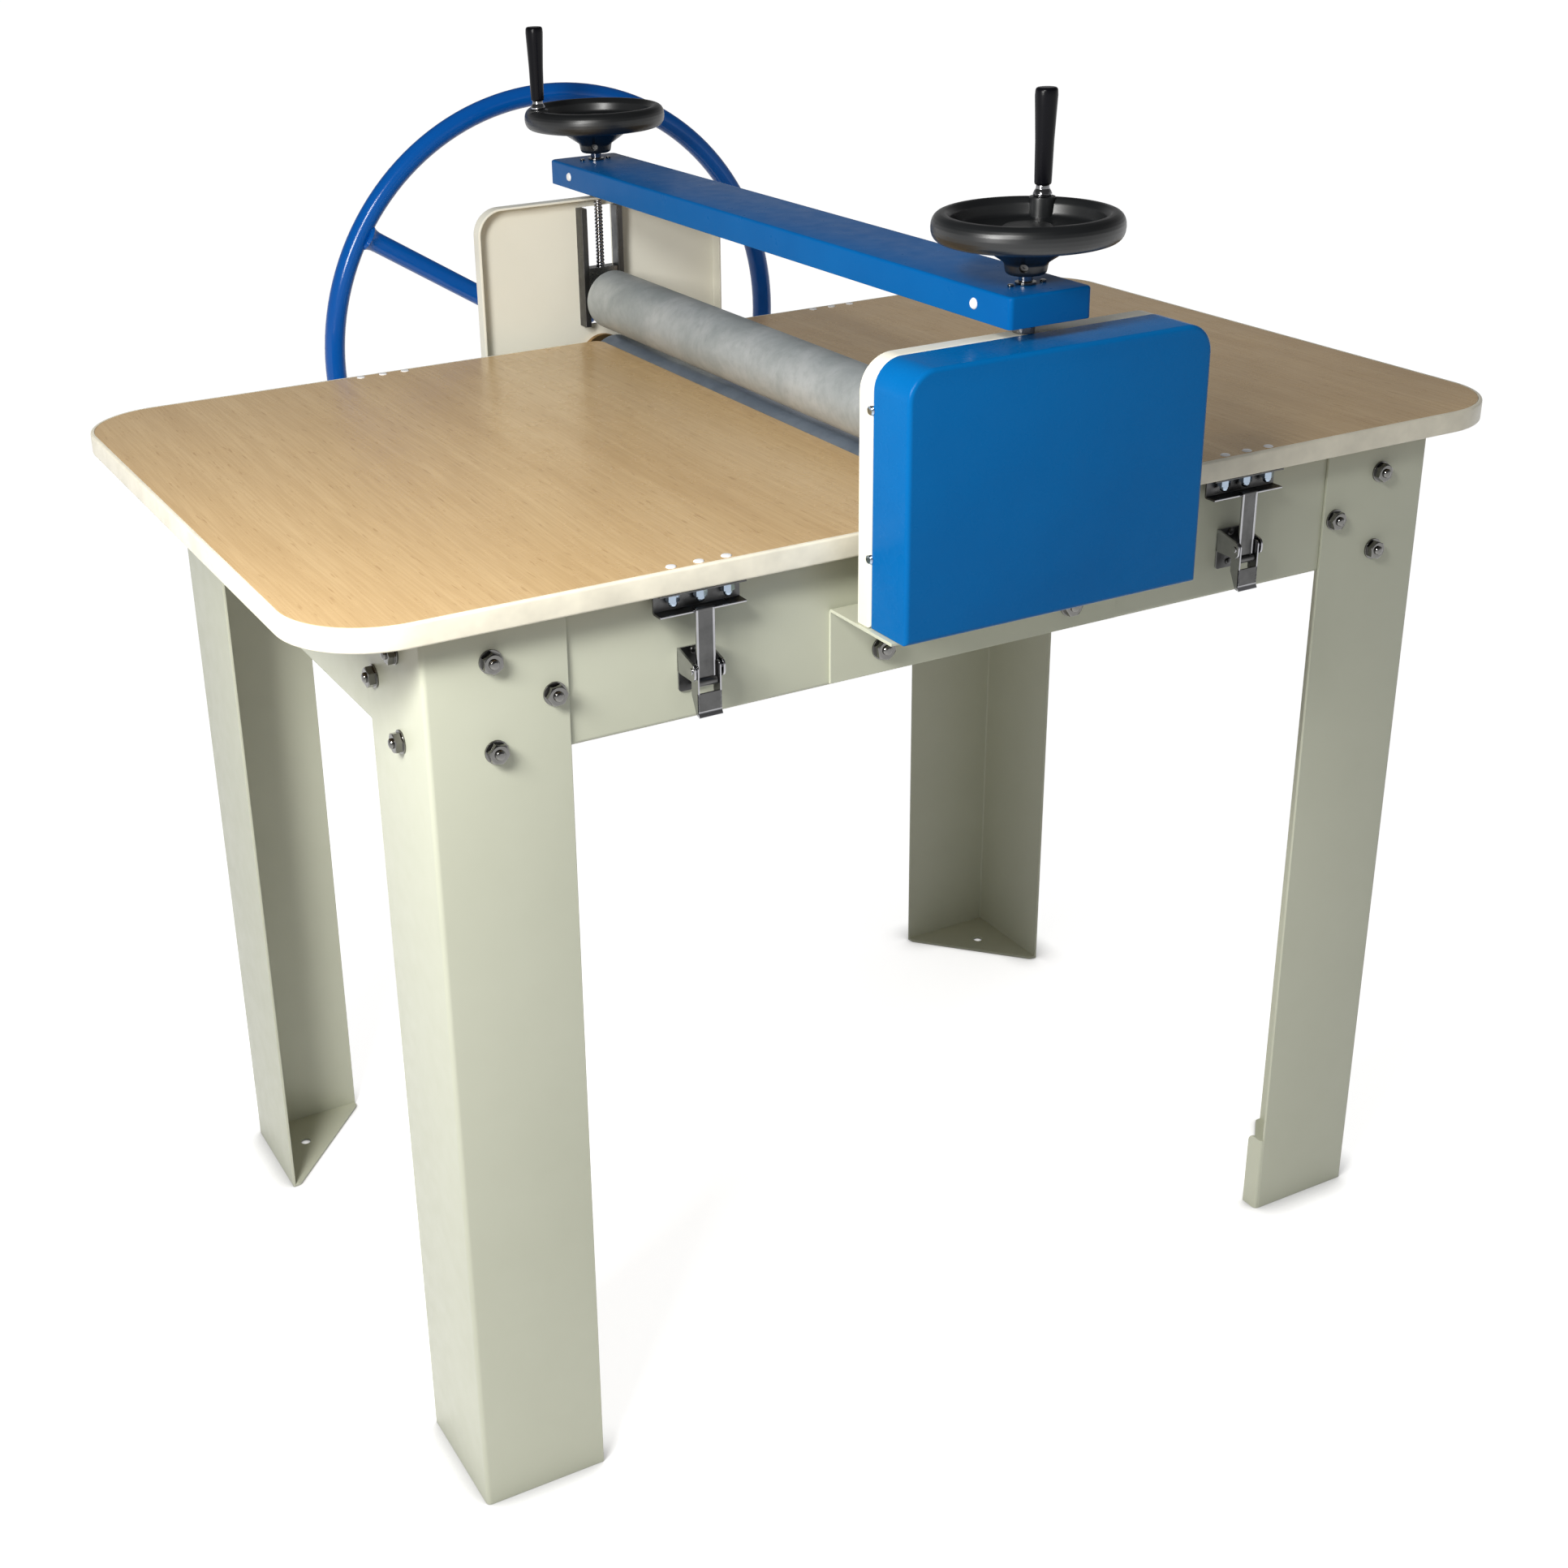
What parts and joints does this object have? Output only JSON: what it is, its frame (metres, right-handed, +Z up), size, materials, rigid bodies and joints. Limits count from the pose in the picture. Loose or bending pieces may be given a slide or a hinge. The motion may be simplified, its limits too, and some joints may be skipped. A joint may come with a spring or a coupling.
{
  "type": "table-mounted roller press",
  "caption": "Roller press on a sheet-steel table: geared rollers, spoked drive wheel, crossbar with cranked pressure handwheels, latched lift-off table wings.",
  "frame": {"origin": "floor level, under the centre of the bounding box", "axes": "+X along the table, +Y along the rollers towards the drive wheel, +Z up"},
  "size_m": [1.27, 1.0602, 1.2635],
  "materials": {
    "frame_paint": "semi-gloss grey-green cream enamel on folded steel sheet",
    "blue_paint": "gloss blue enamel",
    "laminate": "satin beech-grained laminate on board",
    "edge_moulding": "cream plastic edge moulding",
    "roller_steel": "dull, lightly mottled bare steel",
    "steel": "bright zinc-plated steel",
    "gear_iron": "machined dark iron, greased",
    "bearing_bronze": "plain bronze bush",
    "chrome": "polished plate",
    "black_plastic": "satin black moulded plastic"
  },
  "bodies": {
    "frame": {"rail_near": "frame_paint", "rail_far": "frame_paint", "end_rail_left": "frame_paint", "end_rail_right": "frame_paint", "leg_near_left": "frame_paint", "leg_near_right": "frame_paint", "leg_far_left": "frame_paint", "leg_far_right": "frame_paint", "bracket_near": "frame_paint", "bracket_far": "frame_paint", "side_plate_near": "frame_paint", "side_plate_far": "frame_paint", "drive_cover": "blue_paint", "crossbar": "blue_paint", "wing_left": "laminate", "wing_right": "laminate", "edge_trim_left": "edge_moulding", "edge_trim_right": "edge_moulding", "lower_bearing_near": "bearing_bronze", "lower_bearing_far": "bearing_bronze", "spindle_post_near": "steel", "spindle_post_far": "steel", "spindle_collar_near": "steel", "spindle_collar_far": "steel", "latch_base_near_left": "chrome", "latch_base_near_right": "chrome", "latch_base_far_left": "chrome", "latch_base_far_right": "chrome", "latch_keeper_near_left": "steel", "latch_keeper_near_right": "steel", "latch_keeper_far_left": "steel", "latch_keeper_far_right": "steel"},
    "drive": {"lower_roller": "roller_steel", "lower_gear": "gear_iron", "drive_wheel": "blue_paint", "hub_cap": "chrome"},
    "carriage": {"bearing_block_near": "steel", "bearing_block_far": "steel"},
    "upper": {"upper_roller": "roller_steel", "upper_gear": "gear_iron"},
    "pressure_near": {"handwheel_near": "black_plastic", "spindle_near": "chrome", "crank_pin_near": "chrome"},
    "grip_near": {"crank_grip_near": "black_plastic"},
    "pressure_far": {"handwheel_far": "black_plastic", "spindle_far": "chrome", "crank_pin_far": "chrome"},
    "grip_far": {"crank_grip_far": "black_plastic"},
    "lever_near_left": {"latch_lever_near_left": "chrome"},
    "strap_near_left": {"latch_strap_near_left": "chrome"},
    "lever_near_right": {"latch_lever_near_right": "chrome"},
    "strap_near_right": {"latch_strap_near_right": "chrome"},
    "lever_far_left": {"latch_lever_far_left": "chrome"},
    "strap_far_left": {"latch_strap_far_left": "chrome"},
    "lever_far_right": {"latch_lever_far_right": "chrome"},
    "strap_far_right": {"latch_strap_far_right": "chrome"}
  },
  "joints": [
    {"name": "drive_turn", "type": "hinge", "parent": "frame", "child": "drive", "pos_m": [0, -0.04065, 0.884], "axis": [0, 1, 0], "continuous": true},
    {"name": "nip_lift", "type": "slide", "parent": "frame", "child": "carriage", "axis": [0, 0, 1], "range_m": [-0.0075, 0.0085]},
    {"name": "upper_roller_turn", "type": "hinge", "parent": "carriage", "child": "upper", "pos_m": [0, -0.04065, 0.959], "axis": [0, 1, 0], "continuous": true},
    {"name": "pressure_near_turn", "type": "hinge", "parent": "frame", "child": "pressure_near", "pos_m": [0, -0.45065, 1.114], "axis": [0, 0, 1], "range_deg": [-675, 765]},
    {"name": "grip_near_spin", "type": "hinge", "parent": "pressure_near", "child": "grip_near", "pos_m": [0.04788, -0.40522, 1.1843], "axis": [0, 0, 1], "continuous": true},
    {"name": "pressure_far_turn", "type": "hinge", "parent": "frame", "child": "pressure_far", "pos_m": [0, 0.36935, 1.114], "axis": [0, 0, 1], "range_deg": [-675, 765]},
    {"name": "grip_far_spin", "type": "hinge", "parent": "pressure_far", "child": "grip_far", "pos_m": [-0.06527, 0.37911, 1.1843], "axis": [0, 0, 1], "continuous": true},
    {"name": "latch_near_left_lever", "type": "hinge", "parent": "frame", "child": "lever_near_left", "pos_m": [-0.292, -0.42215, 0.822], "axis": [-1, 0, 0], "range_deg": [0, 115]},
    {"name": "latch_near_left_strap", "type": "hinge", "parent": "lever_near_left", "child": "strap_near_left", "pos_m": [-0.292, -0.42065, 0.81], "axis": [-1, 0, 0], "range_deg": [-115, 0]},
    {"name": "latch_near_right_lever", "type": "hinge", "parent": "frame", "child": "lever_near_right", "pos_m": [0.292, -0.42215, 0.822], "axis": [-1, 0, 0], "range_deg": [0, 115]},
    {"name": "latch_near_right_strap", "type": "hinge", "parent": "lever_near_right", "child": "strap_near_right", "pos_m": [0.292, -0.42065, 0.81], "axis": [-1, 0, 0], "range_deg": [-115, 0]},
    {"name": "latch_far_left_lever", "type": "hinge", "parent": "frame", "child": "lever_far_left", "pos_m": [-0.292, 0.34085, 0.822], "axis": [1, 0, 0], "range_deg": [0, 115]},
    {"name": "latch_far_left_strap", "type": "hinge", "parent": "lever_far_left", "child": "strap_far_left", "pos_m": [-0.292, 0.33935, 0.81], "axis": [1, 0, 0], "range_deg": [-115, 0]},
    {"name": "latch_far_right_lever", "type": "hinge", "parent": "frame", "child": "lever_far_right", "pos_m": [0.292, 0.34085, 0.822], "axis": [1, 0, 0], "range_deg": [0, 115]},
    {"name": "latch_far_right_strap", "type": "hinge", "parent": "lever_far_right", "child": "strap_far_right", "pos_m": [0.292, 0.33935, 0.81], "axis": [1, 0, 0], "range_deg": [-115, 0]}
  ],
  "couplings": [
    {"joint": "upper_roller_turn", "follows": "drive_turn", "ratio": -1},
    {"joint": "pressure_near_turn", "follows": "nip_lift", "rad_per_m": 1570.8},
    {"joint": "pressure_far_turn", "follows": "nip_lift", "rad_per_m": 1570.8},
    {"joint": "latch_near_left_strap", "follows": "latch_near_left_lever", "ratio": -1},
    {"joint": "latch_near_right_strap", "follows": "latch_near_right_lever", "ratio": -1},
    {"joint": "latch_far_left_strap", "follows": "latch_far_left_lever", "ratio": -1},
    {"joint": "latch_far_right_strap", "follows": "latch_far_right_lever", "ratio": -1}
  ]
}
